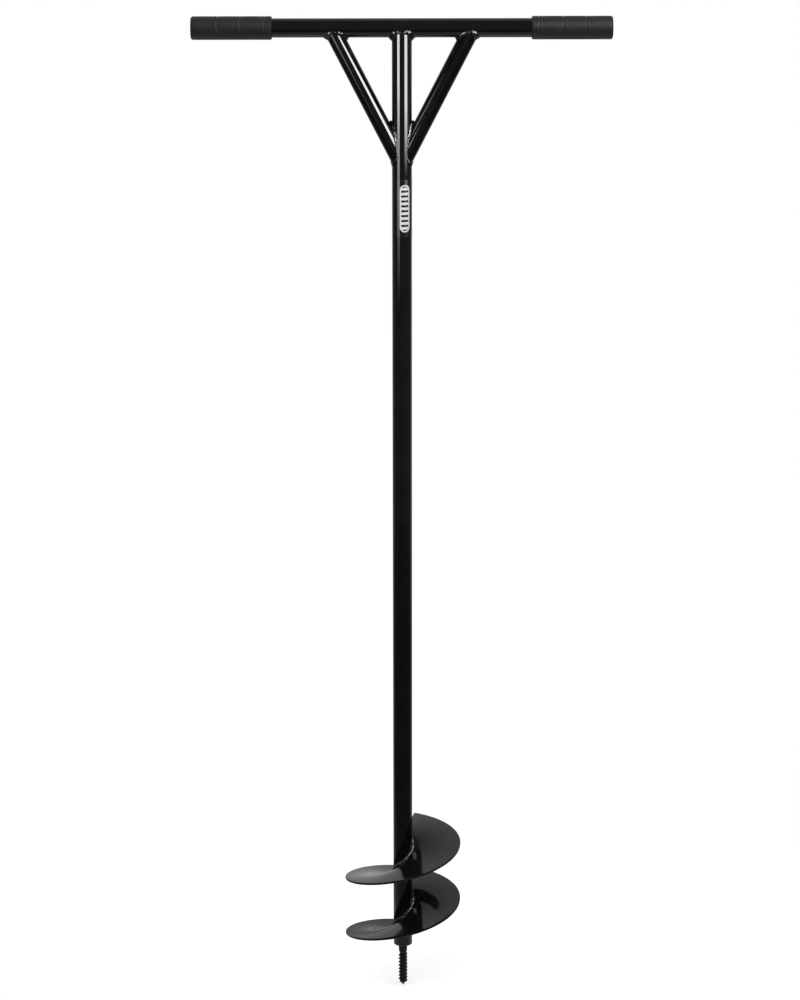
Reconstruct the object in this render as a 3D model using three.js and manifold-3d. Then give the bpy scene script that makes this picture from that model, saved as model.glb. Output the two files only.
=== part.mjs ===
// Post hole auger turned by hand: a steel shaft with a braced crossbar and two grips at its top, and
// two right-hand blades with a pilot screw at its foot, all welded together.
// Millimetres, +Z up. The origin is the tip of the pilot screw, and the crossbar runs along X.
import * as THREE from "three";
import { mergeVertices } from "three/addons/utils/BufferGeometryUtils.js";
import Module from "manifold-3d";

// Fits that every piece shares
const seatGap = 0.3; // between two pieces that lie against each other
const cutOverrun = 20; // how far a cutter runs past what it cuts
const mergeDistance = 1e-4; // corners closer than this are one corner

// Shaft
const shaftDiameter = 24.6;
const shaftWall = 2;
const shaftEdgeRadius = 1.4; // rounded outer edge at the foot
const pointReach = 58.7; // tip of the pilot screw to the foot of the shaft

// Crossbar
const crossbarHeight = 1256; // its axis above the tip of the screw
const crossbarDiameter = 23.4;
const crossbarWall = 2;
const handleWidth = 515; // over both grips
const shaftEarShare = 0.9; // how far round the crossbar, as a share of its radius, the shaft's end reaches

// Braces
const braceDiameter = 21;
const braceWall = 2;
const braceSpread = 86.3; // shaft axis to where a brace's axis meets the crossbar's
const braceDrop = 167.5; // crossbar axis down to where the braces' axes meet the shaft's

// Grips
const gripLength = 99;
const gripDiameter = 28.6;
const gripEndThickness = 4;
const gripEndRadius = 3;
const gripMouthChamfer = 1.2;
const gripRibHeight = 0.6;
const gripRibWidth = 2.4;
const gripRibShares = [0.11, 0.41, 0.69]; // along the grip from its mouth
const gripRibFadeDegrees = [95, 130]; // from the top, where a rib starts to fade and where it is gone

// Weld beads
const barWeldSize = 4.6;
const braceWeldSize = 4.2;
const crotchWeldSize = 6.6; // where a brace and the shaft close to a sharp corner
const earWeldSinkShare = 0.55; // how far a bead sinks at a joint's front and back, where it lies nearly flush
const flightWeldSize = 5;
const buttWeldWidth = 7;
const buttWeldHeight = 1.4;
const screwWeldSize = 1.6;
const filletBulgeShare = 0.35; // from a flat fillet, 0, to a quarter round, 1
const weldRippleShare = 0.07;
const weldRippleLength = 6;

// Blades
const flightDiameter = 150;
const flightPitch = 76.6;
const flightPlate = 2.8;
const flightLean = 4.8; // how much higher than level the rim lies on the right-hand side
const flightFootRise = 3.9; // foot of the shaft to the middle of the lowest blade end
const flightTopDegrees = 78; // where the top end lies, round from +X
const flightSweepDegrees = 349; // of one blade

// Point
const plugLength = 24;
const screwSeatDiameter = 10;
const screwSeatDepth = 18; // how far the screw goes up into the plug
const screwNeckDiameter = 11.9; // where it leaves the plug
const screwNeckLength = 12.5; // plug to thread
const screwShankDiameter = 10.8; // at the lower end of the neck
const threadDiameter = 11.7;
const threadRootDiameter = 8.7;
const threadPitch = 4.7;
const threadStartRise = 1.95; // tip to where the thread passes +X in its first turn
const screwTipLength = 6.4; // the cone
const threadCrestShare = 0.14; // flat crest, as a share of the pitch
const threadFlankShare = 0.26;
const threadRunoutTurns = 0.4;
const threadSinkShare = 0.85; // how deep the thread's root lies in the core, as a share of its radius

// Label
const labelHeight = 71;
const labelDrop = 18; // the braces' meeting point down to the label's top edge
const labelThickness = 0.3;
const labelStartDegrees = -125; // round from +X, where -90 faces the front
const labelSweepDegrees = 150;

// Smoothness
const tubeSides = 48;
const gripSides = 36;
const beadSides = 6;
const roundSteps = 4;
const flightStepsPerTurn = 72;
const flightRadialSteps = 3;
const flightSpacingPower = 1.6; // closer rows near the shaft, where the plate is steep
const filletSteps = 3;
const stepsPerRipple = 3;
const threadSides = 12;
const labelSteps = 20;

// Radii and heights that follow from the sizes above
const shaftRadius = shaftDiameter / 2;
const shaftBore = shaftRadius - shaftWall;
const crossbarRadius = crossbarDiameter / 2;
const braceRadius = braceDiameter / 2;
const gripRadius = gripDiameter / 2;
const flightRadius = flightDiameter / 2;
const braceMeet = crossbarHeight - braceDrop;
const earReach = shaftEarShare * crossbarRadius;
const shaftTop = crossbarHeight - Math.sqrt(crossbarRadius ** 2 - earReach ** 2);
const flightTop = THREE.MathUtils.degToRad(flightTopDegrees);
const flightSweep = THREE.MathUtils.degToRad(flightSweepDegrees);
const flightJoint = flightTop - flightSweep;
const flightFoot = flightJoint - flightSweep;
const neckRadius = screwNeckDiameter / 2;
const threadTop = pointReach - screwNeckLength;
const fullTurn = 2 * Math.PI;

const wasm = await Module();
wasm.setup();

// A closed geometry as a solid that can be cut and joined.
function solidOf(geometry) {
  const bare = geometry.clone();
  bare.deleteAttribute("normal");
  bare.deleteAttribute("uv");
  const merged = mergeVertices(bare, mergeDistance);
  return new wasm.Manifold(
    new wasm.Mesh({
      numProp: 3,
      vertProperties: merged.attributes.position.array,
      triVerts: new Uint32Array(merged.index.array),
    }),
  );
}

function geometryOf(solid) {
  const mesh = solid.getMesh();
  const geometry = new THREE.BufferGeometry();
  geometry.setAttribute("position", new THREE.BufferAttribute(new Float32Array(mesh.vertProperties), 3));
  geometry.setIndex(new THREE.BufferAttribute(new Uint32Array(mesh.triVerts), 1));
  geometry.computeVertexNormals();
  return geometry;
}

// A profile of [radius, height] points turned round the Z axis.
function revolved(profile, sides) {
  const points = profile.map(([radius, height]) => new THREE.Vector2(radius, height));
  return new THREE.LatheGeometry(points, sides).rotateX(Math.PI / 2);
}

// The points of a quarter circle of a profile, from one angle to the other.
function roundCorner(radius, height, size, fromAngle, toAngle) {
  return Array.from({ length: roundSteps + 1 }, (_, step) => {
    const angle = THREE.MathUtils.lerp(fromAngle, toAngle, step / roundSteps);
    return [radius + size * Math.cos(angle), height + size * Math.sin(angle)];
  });
}

// A round bar between two points, as a solid.
function rod(from, to, radius) {
  const along = new THREE.Vector3().subVectors(to, from);
  const geometry = new THREE.CylinderGeometry(radius, radius, along.length(), tubeSides);
  const up = new THREE.Vector3(0, 1, 0);
  geometry.applyQuaternion(new THREE.Quaternion().setFromUnitVectors(up, along.clone().normalize()));
  const middle = new THREE.Vector3().addVectors(from, to).multiplyScalar(0.5);
  return solidOf(geometry.translate(middle.x, middle.y, middle.z));
}

// The bar between two points, longer by the overrun at both ends.
function longRod(from, to, radius) {
  const extra = new THREE.Vector3().subVectors(to, from).setLength(cutOverrun);
  return rod(from.clone().sub(extra), to.clone().add(extra), radius);
}

// A solid skinned over sections with equal numbers of points. A loop joins the last section to the
// first one, and otherwise both ends are closed by a fan.
function skinned(sections, loop) {
  const count = sections[0].length;
  const positions = sections.flat().flatMap((point) => point.toArray());
  const faces = [];
  const spans = loop ? sections.length : sections.length - 1;
  for (let span = 0; span < spans; span += 1) {
    const here = span * count;
    const next = ((span + 1) % sections.length) * count;
    for (let side = 0; side < count; side += 1) {
      const other = (side + 1) % count;
      faces.push(here + side, next + side, next + other);
      faces.push(here + side, next + other, here + other);
    }
  }
  if (!loop) {
    const lastStart = (sections.length - 1) * count;
    const firstHub = positions.length / 3;
    [sections[0], sections.at(-1)].forEach((section) => {
      const hub = section.reduce((sum, point) => sum.add(point), new THREE.Vector3());
      positions.push(...hub.divideScalar(count).toArray());
    });
    for (let side = 0; side < count; side += 1) {
      const other = (side + 1) % count;
      faces.push(firstHub, side, other);
      faces.push(firstHub + 1, lastStart + other, lastStart + side);
    }
  }
  const geometry = new THREE.BufferGeometry();
  geometry.setAttribute("position", new THREE.Float32BufferAttribute(positions, 3));
  geometry.setIndex(faces);
  return solidOf(geometry);
}

// Lines of the frame, all in the XZ plane
const shaftLine = [new THREE.Vector3(0, 0, pointReach), new THREE.Vector3(0, 0, crossbarHeight)];
const crossbarLine = [-1, 1].map((side) => new THREE.Vector3((side * handleWidth) / 2, 0, crossbarHeight));

function braceLine(side) {
  return [new THREE.Vector3(0, 0, braceMeet), new THREE.Vector3(side * braceSpread, 0, crossbarHeight)];
}

// Painted steel, rubber and film
const gloss = { roughness: 0.18, metalness: 0 };
const shaftPaint = new THREE.MeshStandardMaterial({ color: 0x141615, ...gloss });
const handlePaint = new THREE.MeshStandardMaterial({ color: 0x161616, ...gloss });
const bladePaint = new THREE.MeshStandardMaterial({ color: 0x303231, roughness: 0.38, metalness: 0 });
const beadPaint = new THREE.MeshStandardMaterial({ color: 0x121313, roughness: 0.14, metalness: 0 });
const pointPaint = new THREE.MeshStandardMaterial({ color: 0x262622, roughness: 0.42, metalness: 0 });
const gripRubber = new THREE.MeshStandardMaterial({ color: 0x2c2c2a, roughness: 0.7, metalness: 0 });
const labelFilm = new THREE.MeshStandardMaterial({ color: 0xe9ebe6, roughness: 0.35, metalness: 0 });

const auger = new THREE.Group();

function addPiece(name, solid, material) {
  const mesh = new THREE.Mesh(geometryOf(solid), material);
  mesh.name = name;
  auger.add(mesh);
}

// Shaft: a tube with a rounded outer edge at its foot, and its top cut to the crossbar. The top is
// trimmed below the crossbar's axis, so that two ears reach round the crossbar.
function shaftTube() {
  const profile = [
    [shaftBore, pointReach],
    [shaftBore, shaftTop],
    [shaftRadius, shaftTop],
    ...roundCorner(
      shaftRadius - shaftEdgeRadius,
      pointReach + shaftEdgeRadius,
      shaftEdgeRadius,
      0,
      -Math.PI / 2,
    ),
    [shaftBore, pointReach],
  ].reverse();
  const cope = longRod(...crossbarLine, crossbarRadius + seatGap);
  return solidOf(revolved(profile, tubeSides)).subtract(cope);
}
addPiece("shaft_tube", shaftTube(), shaftPaint);

// Crossbar: a tube that ends inside both grips
function crossbarTube() {
  const inset = gripEndThickness + seatGap;
  const ends = crossbarLine.map((end, index) => end.clone().setX(end.x + (index ? -inset : inset)));
  return rod(...ends, crossbarRadius).subtract(longRod(...crossbarLine, crossbarRadius - crossbarWall));
}
addPiece("crossbar_tube", crossbarTube(), handlePaint);

// Braces: each is cut to the shaft below and to the crossbar above
function braceTube(side) {
  const line = braceLine(side);
  return rod(...line, braceRadius)
    .subtract(longRod(...line, braceRadius - braceWall))
    .subtract(longRod(...shaftLine, shaftRadius + seatGap))
    .subtract(longRod(...crossbarLine, crossbarRadius + seatGap));
}
addPiece("left_brace_tube", braceTube(-1), handlePaint);
addPiece("right_brace_tube", braceTube(1), handlePaint);

// Grips: a sleeve with a closed, rounded end and three low ribs that fade out underneath
function ribRise(along, degreesFromTop) {
  const [fadeStart, fadeEnd] = gripRibFadeDegrees;
  const fade = 1 - THREE.MathUtils.smoothstep(degreesFromTop, fadeStart, fadeEnd);
  const nearest = Math.min(...gripRibShares.map((share) => Math.abs(along - share * gripLength)));
  return gripRibHeight * fade * Math.max(0, 1 - (2 * nearest) / gripRibWidth);
}

function grip(side) {
  const bore = crossbarRadius + seatGap;
  const ribRows = gripRibShares.flatMap((share) =>
    [-1, 0, 1].map((edge) => [gripRadius, share * gripLength + (edge * gripRibWidth) / 2]),
  );
  const profile = [
    [0, gripLength - gripEndThickness],
    [bore, gripLength - gripEndThickness],
    [bore, 0],
    [gripRadius - gripMouthChamfer, 0],
    [gripRadius, gripMouthChamfer],
    ...ribRows,
    ...roundCorner(gripRadius - gripEndRadius, gripLength - gripEndRadius, gripEndRadius, 0, Math.PI / 2),
    [0, gripLength],
  ];
  const geometry = revolved(profile, gripSides).rotateY((side * Math.PI) / 2);
  const points = geometry.attributes.position;
  const point = new THREE.Vector3();
  for (let index = 0; index < points.count; index += 1) {
    point.fromBufferAttribute(points, index);
    const reach = Math.hypot(point.y, point.z);
    if (reach > bore + seatGap) {
      const fromTop = THREE.MathUtils.radToDeg(Math.acos(THREE.MathUtils.clamp(point.z / reach, -1, 1)));
      const scale = 1 + ribRise(Math.abs(point.x), fromTop) / reach;
      points.setXYZ(index, point.x, point.y * scale, point.z * scale);
    }
  }
  return solidOf(geometry.translate(side * (handleWidth / 2 - gripLength), 0, crossbarHeight));
}
addPiece("left_grip", grip(-1), gripRubber);
addPiece("right_grip", grip(1), gripRubber);

// Where the skin of a branch tube meets the skin of a run tube, point by point round the branch. The
// normal points from the run's axis to the branch, in the XZ plane that holds both axes.
function saddle(branch, branchRadius, runPoint, runNormal, runRadius) {
  const along = new THREE.Vector3().subVectors(branch[1], branch[0]).normalize();
  const across = new THREE.Vector3(along.z, 0, -along.x);
  const steps = stepsPerRipple * Math.round((fullTurn * branchRadius) / weldRippleLength);
  return Array.from({ length: steps }, (_, step) => {
    const angle = (step / steps) * fullTurn;
    const outward = across.clone().multiplyScalar(Math.cos(angle));
    outward.y = Math.sin(angle);
    const start = branch[0].clone().addScaledVector(outward, branchRadius);
    const sideways = Math.min(Math.abs(start.y), shaftEarShare * runRadius);
    const wanted = Math.sqrt(runRadius ** 2 - sideways ** 2);
    const reached = start.clone().sub(runPoint).dot(runNormal);
    start.addScaledVector(along, (wanted - reached) / along.dot(runNormal));
    return { point: start, outward, angle };
  });
}

// A rippled bead swept round a saddle. It stands lower where it passes the front and the back of the branch.
function bead(path, sizeAt) {
  const sections = path.map(({ point, outward, angle }, index) => {
    const before = path.at(index - 1).point;
    const after = path[(index + 1) % path.length].point;
    const tangent = new THREE.Vector3().subVectors(after, before).normalize();
    const beside = new THREE.Vector3().crossVectors(outward, tangent).normalize();
    const out = new THREE.Vector3().crossVectors(tangent, beside);
    const ripple = 1 + weldRippleShare * Math.cos((index / stepsPerRipple) * fullTurn);
    const size = sizeAt(angle) * ripple;
    const sink = earWeldSinkShare * sizeAt(angle) * Math.sin(angle) ** 4;
    const middle = point.clone().addScaledVector(outward, -sink);
    return Array.from({ length: beadSides }, (_, side) => {
      const turn = (side / beadSides) * fullTurn;
      return middle
        .clone()
        .addScaledVector(out, size * Math.cos(turn))
        .addScaledVector(beside, size * Math.sin(turn));
    });
  });
  return skinned(sections, true);
}

// Weld round the top of the shaft, over its two ears
function shaftCrossbarWeld() {
  const down = new THREE.Vector3(0, 0, -1);
  const path = saddle(shaftLine, shaftRadius, crossbarLine[0], down, crossbarRadius);
  const shaftCore = [shaftLine[0], shaftLine[1].clone().setZ(shaftTop + seatGap)];
  return bead(path, () => barWeldSize)
    .subtract(longRod(...crossbarLine, crossbarRadius + seatGap))
    .subtract(rod(...shaftCore, shaftRadius + seatGap));
}
addPiece("shaft_crossbar_weld", shaftCrossbarWeld(), beadPaint);

// Welds at both ends of each brace
function braceCrossbarWeld(side) {
  const down = new THREE.Vector3(0, 0, -1);
  const path = saddle(braceLine(side), braceRadius, crossbarLine[0], down, crossbarRadius);
  return bead(path, () => braceWeldSize)
    .subtract(longRod(...crossbarLine, crossbarRadius + seatGap))
    .subtract(longRod(...braceLine(side), braceRadius + seatGap));
}
addPiece("left_brace_crossbar_weld", braceCrossbarWeld(-1), beadPaint);
addPiece("right_brace_crossbar_weld", braceCrossbarWeld(1), beadPaint);

function braceShaftWeld(side) {
  const sideways = new THREE.Vector3(side, 0, 0);
  const path = saddle(braceLine(side), braceRadius, shaftLine[0], sideways, shaftRadius);
  const sizeAt = (angle) => {
    const crotch = Math.max(0, -side * Math.cos(angle)) ** 2;
    return THREE.MathUtils.lerp(braceWeldSize, crotchWeldSize, crotch);
  };
  const reach = braceRadius + crotchWeldSize + cutOverrun;
  const otherHalf = new THREE.BoxGeometry(2 * reach, 2 * reach, 2 * braceDrop);
  otherHalf.translate(side * (seatGap / 2 - reach), 0, braceMeet);
  return bead(path, sizeAt)
    .subtract(longRod(...shaftLine, shaftRadius + seatGap))
    .subtract(longRod(...braceLine(side), braceRadius + seatGap))
    .subtract(solidOf(otherHalf));
}
addPiece("left_brace_shaft_weld", braceShaftWeld(-1), beadPaint);
addPiece("right_brace_shaft_weld", braceShaftWeld(1), beadPaint);

// Blades: the middle of the plate climbs evenly with the angle and leans up to the right
function plateMiddle(radius, angle) {
  const climb = (flightPitch * (angle - flightFoot)) / fullTurn;
  return pointReach + flightFootRise + climb + flightLean * (radius / flightRadius) * Math.cos(angle);
}

// Half of the plate's upright thickness, which grows where the plate is steep
function plateHalf(radius) {
  return (flightPlate / 2) * Math.hypot(1, flightPitch / (fullTurn * radius));
}

function helixPoint(radius, angle, height) {
  return new THREE.Vector3(radius * Math.cos(angle), radius * Math.sin(angle), height);
}

// The angles of a helical piece, in equal steps from low to high
function anglesBetween(low, high, stepsPerTurn) {
  const steps = Math.ceil(((high - low) / fullTurn) * stepsPerTurn);
  return Array.from({ length: steps + 1 }, (_, step) => THREE.MathUtils.lerp(low, high, step / steps));
}

function plateTop(radius, angle) {
  return plateMiddle(radius, angle) + plateHalf(radius);
}

// The upright distance that keeps the seat gap to a plate that is steeper near the shaft
function gapOverPlate(radius) {
  return (seatGap * plateHalf(radius)) / (flightPlate / 2);
}

// A slot of the seat gap's width through the joint between the two blades
function jointSlot() {
  const slot = new THREE.BoxGeometry(flightRadius + cutOverrun, seatGap, flightPitch / 2);
  slot.translate((flightRadius + cutOverrun) / 2, 0, plateMiddle(flightRadius, flightJoint));
  return solidOf(slot.rotateZ(flightJoint));
}

function blade(low, high) {
  const inner = shaftRadius + seatGap;
  const radii = Array.from({ length: flightRadialSteps + 1 }, (_, step) => {
    const share = (step / flightRadialSteps) ** flightSpacingPower;
    return THREE.MathUtils.lerp(inner, flightRadius, share);
  });
  const sections = anglesBetween(low, high, flightStepsPerTurn).map((angle) => {
    const skin = (half) => radii.map((radius) => {
      return helixPoint(radius, angle, plateMiddle(radius, angle) + half * plateHalf(radius));
    });
    return [...skin(-1), ...skin(1).reverse()];
  });
  return skinned(sections, false).subtract(jointSlot());
}
addPiece("upper_flight", blade(flightJoint, flightTop), bladePaint);
addPiece("lower_flight", blade(flightFoot, flightJoint), bladePaint);

// Butt weld: a low bead on the top side of the joint, from the fillet weld to the rim
function flightButtWeld() {
  const start = shaftRadius + 2 * seatGap + flightWeldSize * (1 + weldRippleShare);
  const steps = stepsPerRipple * Math.round((flightRadius - start) / weldRippleLength);
  const sections = Array.from({ length: steps + 1 }, (_, step) => {
    const along = THREE.MathUtils.lerp(start, flightRadius, step / steps);
    const ripple = 1 + weldRippleShare * Math.cos((step / stepsPerRipple) * fullTurn);
    return Array.from({ length: beadSides }, (_, side) => {
      const turn = (side / (beadSides - 1)) * Math.PI;
      const beside = (-buttWeldWidth / 2) * ripple * Math.cos(turn);
      const radius = Math.hypot(along, beside);
      const angle = flightJoint + Math.atan2(beside, along);
      const rise = gapOverPlate(radius) + buttWeldHeight * ripple * Math.sin(turn);
      return helixPoint(radius, angle, plateTop(radius, angle) + rise);
    });
  });
  return skinned(sections, false);
}
addPiece("flight_butt_weld", flightButtWeld(), beadPaint);

// Fillet welds: each follows a blade's inner edge, on its top side
function flightWeld(low, high) {
  const steps = (stepsPerRipple * Math.hypot(fullTurn * shaftRadius, flightPitch)) / weldRippleLength;
  const halfGap = seatGap / 2 / shaftRadius;
  const root = shaftRadius + seatGap;
  const sections = anglesBetween(low + halfGap, high - halfGap, steps).map((angle, index) => {
    const size = flightWeldSize * (1 + weldRippleShare * Math.cos((index / stepsPerRipple) * fullTurn));
    const onPlate = (radius, rise) => {
      return helixPoint(radius, angle, plateTop(radius, angle) + gapOverPlate(radius) + rise);
    };
    const face = Array.from({ length: filletSteps + 1 }, (_, step) => {
      const share = step / filletSteps;
      const turn = (share * Math.PI) / 2;
      const out = THREE.MathUtils.lerp(1 - share, Math.cos(turn), filletBulgeShare);
      const up = THREE.MathUtils.lerp(share, Math.sin(turn), filletBulgeShare);
      return onPlate(root + size * out, size * up);
    });
    return [onPlate(root, 0), ...face];
  });
  return skinned(sections, false);
}
addPiece("upper_flight_weld", flightWeld(flightJoint, flightTop), beadPaint);
addPiece("lower_flight_weld", flightWeld(flightFoot, flightJoint), beadPaint);

// Plug: closes the shaft's foot and holds the pilot screw
function pointPlug() {
  const outer = shaftBore - seatGap;
  const bore = screwSeatDiameter / 2 + seatGap;
  const profile = [
    [0, pointReach + screwSeatDepth + seatGap],
    [bore, pointReach + screwSeatDepth + seatGap],
    [bore, pointReach],
    [outer, pointReach],
    [outer, pointReach + plugLength],
    [0, pointReach + plugLength],
  ];
  return solidOf(revolved(profile, tubeSides));
}
addPiece("point_plug", pointPlug(), pointPaint);

// Pilot screw: a coach screw with its seat in the plug, a tapered neck, and a thread down to the tip
function threadRidge() {
  const climb = threadPitch / fullTurn;
  const turnsOf = (height) => (height - threadStartRise) / climb;
  const crestHalf = (threadCrestShare * threadPitch) / 2;
  const footHalf = crestHalf + threadFlankShare * threadPitch;
  const sections = anglesBetween(0, turnsOf(threadTop), threadSides).map((angle) => {
    const height = threadStartRise + climb * angle;
    const pointed = Math.min(1, height / screwTipLength);
    const runout = Math.min(1, (turnsOf(threadTop) - angle) / (threadRunoutTurns * fullTurn));
    const root = (threadRootDiameter / 2) * pointed * threadSinkShare;
    const full = THREE.MathUtils.lerp(threadRootDiameter, threadDiameter, runout) / 2;
    const crest = full * pointed;
    return [
      helixPoint(root, angle, height - footHalf),
      helixPoint(crest, angle, height - crestHalf),
      helixPoint(crest, angle, height + crestHalf),
      helixPoint(root, angle, height + footHalf),
    ];
  });
  return skinned(sections, false);
}

function pilotScrew() {
  const profile = [
    [0, 0],
    [threadRootDiameter / 2, screwTipLength],
    [threadRootDiameter / 2, threadTop],
    [screwShankDiameter / 2, threadTop + threadPitch / 2],
    [neckRadius, pointReach - seatGap],
    [screwSeatDiameter / 2, pointReach - seatGap],
    [screwSeatDiameter / 2, pointReach + screwSeatDepth],
    [0, pointReach + screwSeatDepth],
  ];
  return solidOf(revolved(profile, threadSides * 2)).add(threadRidge());
}
addPiece("pilot_screw", pilotScrew(), pointPaint);

// Weld round the screw's neck, under the plug
function pilotScrewWeld() {
  const inner = neckRadius + seatGap;
  const top = pointReach - seatGap;
  const profile = [
    [inner, top],
    [inner, top - screwWeldSize],
    ...roundCorner(inner, top, screwWeldSize, -Math.PI / 2, 0).slice(1),
    [inner, top],
  ];
  return solidOf(revolved(profile, threadSides * 2));
}
addPiece("pilot_screw_weld", pilotScrewWeld(), pointPaint);

// Label: a thin film wrapped part of the way round the shaft
function shaftLabel() {
  const start = THREE.MathUtils.degToRad(labelStartDegrees);
  const end = start + THREE.MathUtils.degToRad(labelSweepDegrees);
  const inner = shaftRadius + seatGap;
  const outline = new THREE.Shape();
  outline.absarc(0, 0, inner + labelThickness, start, end, false);
  outline.absarc(0, 0, inner, end, start, true);
  outline.closePath();
  const sheet = new THREE.ExtrudeGeometry(outline, {
    depth: labelHeight,
    bevelEnabled: false,
    curveSegments: labelSteps,
  });
  return solidOf(sheet.translate(0, 0, braceMeet - labelDrop - labelHeight));
}
addPiece("shaft_label", shaftLabel(), labelFilm);

export default auger;
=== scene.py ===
"""Looks of the post hole auger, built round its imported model.

Metres, +Z up, with the crossbar along X and the tip of the screw at the origin, as in the model.
Each piece of the model gets a finer skin in the same place, with a procedural finish.
"""

import math
from collections import namedtuple

import bmesh
import bpy
import numpy as np
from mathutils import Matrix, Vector, noise as perlin


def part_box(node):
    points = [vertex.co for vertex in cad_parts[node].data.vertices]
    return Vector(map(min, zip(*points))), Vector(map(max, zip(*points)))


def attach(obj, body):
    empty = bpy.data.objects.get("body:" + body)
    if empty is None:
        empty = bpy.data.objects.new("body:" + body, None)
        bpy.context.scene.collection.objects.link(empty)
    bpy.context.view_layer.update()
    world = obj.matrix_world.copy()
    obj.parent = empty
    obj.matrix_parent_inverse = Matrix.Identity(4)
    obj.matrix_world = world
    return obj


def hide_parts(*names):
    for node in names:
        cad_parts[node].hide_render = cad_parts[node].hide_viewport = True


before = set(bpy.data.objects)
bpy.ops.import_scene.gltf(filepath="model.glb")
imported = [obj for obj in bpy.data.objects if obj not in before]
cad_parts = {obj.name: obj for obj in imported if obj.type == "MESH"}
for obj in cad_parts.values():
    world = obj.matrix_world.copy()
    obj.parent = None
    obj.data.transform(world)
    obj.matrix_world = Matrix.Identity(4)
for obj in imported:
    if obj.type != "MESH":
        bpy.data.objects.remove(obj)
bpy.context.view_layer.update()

MM = 0.001
FULL_TURN = 2 * math.pi


def half_size(node, axis):
    low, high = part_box(node)
    return (high[axis] - low[axis]) / 2


def middle(node, axis):
    low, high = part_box(node)
    return (high[axis] + low[axis]) / 2


# Shaft
SHAFT_RADIUS = half_size("shaft_tube", 0)
SHAFT_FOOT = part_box("shaft_tube")[0].z
SHAFT_EDGE = 1.4 * MM
TUBE_WALL = 2 * MM

# Crossbar and braces
BAR_RADIUS = half_size("crossbar_tube", 2)
BAR_HEIGHT = middle("crossbar_tube", 2)
BAR_HALF_LENGTH = half_size("crossbar_tube", 0)
EAR_SHARE = 0.9  # how far round the crossbar, as a share of its radius, the shaft's end reaches
BRACE_RADIUS = 10.5 * MM
BRACE_SPREAD = 86.3 * MM
BRACE_DROP = 167.5 * MM
BRACE_MEET = BAR_HEIGHT - BRACE_DROP

# Grips
GRIP_LENGTH = 2 * half_size("right_grip", 0)
GRIP_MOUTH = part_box("right_grip")[0].x
GRIP_RADIUS = 14.3 * MM
GRIP_END_THICKNESS = 4 * MM
GRIP_END_RADIUS = 3 * MM
GRIP_CHAMFER = 1.2 * MM
RIB_RISE = 0.5 * MM
RIB_WIDTH = 1.9 * MM
RIB_SHARPNESS = 2.2
RIB_GROOVE = 0.4 * MM  # how deep the groove on each rib's mouth side is
RIB_GROOVE_OFF = 0.8  # how far it lies from the rib's top, in rib widths
RIB_SHARES = (0.11, 0.41, 0.69)
RIB_BENDS = (0.6 * MM, 2.4 * MM, 5.5 * MM)  # how far each rib's lower end bends back towards the mouth
RIB_FADE = (math.radians(96), math.radians(124))  # from the top, where a rib fades out
RIB_BEND_FROM = math.radians(76)
RIB_BEND_OVER = math.radians(44)
PAD_CROWN = 0.25 * MM  # how far the stretches between the ribs swell

# Weld beads
BAR_WELD = 4.6 * MM
BRACE_WELD = 4.2 * MM
CROTCH_WELD = 6.2 * MM
FRONT_THINNING = 0.7  # how much shorter a brace's bead is on the shaft's front and back
FLIGHT_WELD = 5 * MM
FLIGHT_WELD_SLIM_TURN = math.radians(30)  # where round the shaft a blade's bead is slimmest
FLIGHT_WELD_SLIM = 0.6  # how slim it is there, as a share of its size
FLIGHT_WELD_END = 0.25  # how slim it is at its ends
FLIGHT_WELD_CROWN = 0.08  # how proud it stands, as a share of its size
BUTT_WELD_WIDTH = 7 * MM
BUTT_WELD_HEIGHT = 1.4 * MM
SCREW_WELD = 1.6 * MM
SCREW_WELD_BULGE = 0.4
CONVEX = 0.6
CONCAVE = -0.25  # how a fillet's face lies, from -1, hollow, over 0, flat, to 1, a quarter round
EAR_THINNING = 0.75  # how much of its reach along the branch it loses at a joint's front and back
EAR_CROWN = 0.4  # how proud a bead stands at a joint's front and back, as a share of its size
FILLET_UNEVENNESS = 0.12  # how much a fillet's size wanders, as a share of it
BEAD_UNEVENNESS = 0.1  # how much the size of the other beads does
LUMP_LENGTH = 1.7 * MM
LUMP_HEIGHT = 0.3 * MM
RIPPLE_LENGTH = 2.6 * MM
RIPPLE_HEIGHT = 0.28 * MM
RIPPLE_DRIFT = 0.6  # how far, in ripples, a ripple strays from its place
RIPPLE_CURVE = 1.3  # how far, in ripples, the middle of a ripple runs ahead of its ends
WELD_SINK = 0.15 * MM  # how far a bead's edges lie in what they are welded to
WELD_ROOT_SINK = 4 * WELD_SINK

# Blades
FLIGHT_RADIUS = 75 * MM
FLIGHT_PITCH = 76.6 * MM
FLIGHT_PLATE = 2.8 * MM
FLIGHT_LEAN = 4.8 * MM  # how far the rims are lifted on the right and lowered on the left
FLIGHT_FOOT_RISE = 3.9 * MM  # how far over the shaft's foot the lower blade starts
FLIGHT_TOP = math.radians(78)
FLIGHT_SWEEP = math.radians(349)
FLIGHT_JOINT = FLIGHT_TOP - FLIGHT_SWEEP
FLIGHT_FOOT = FLIGHT_JOINT - FLIGHT_SWEEP
FLIGHT_EDGE = 0.6 * MM
JOINT_GAP = 0.3 * MM

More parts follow.
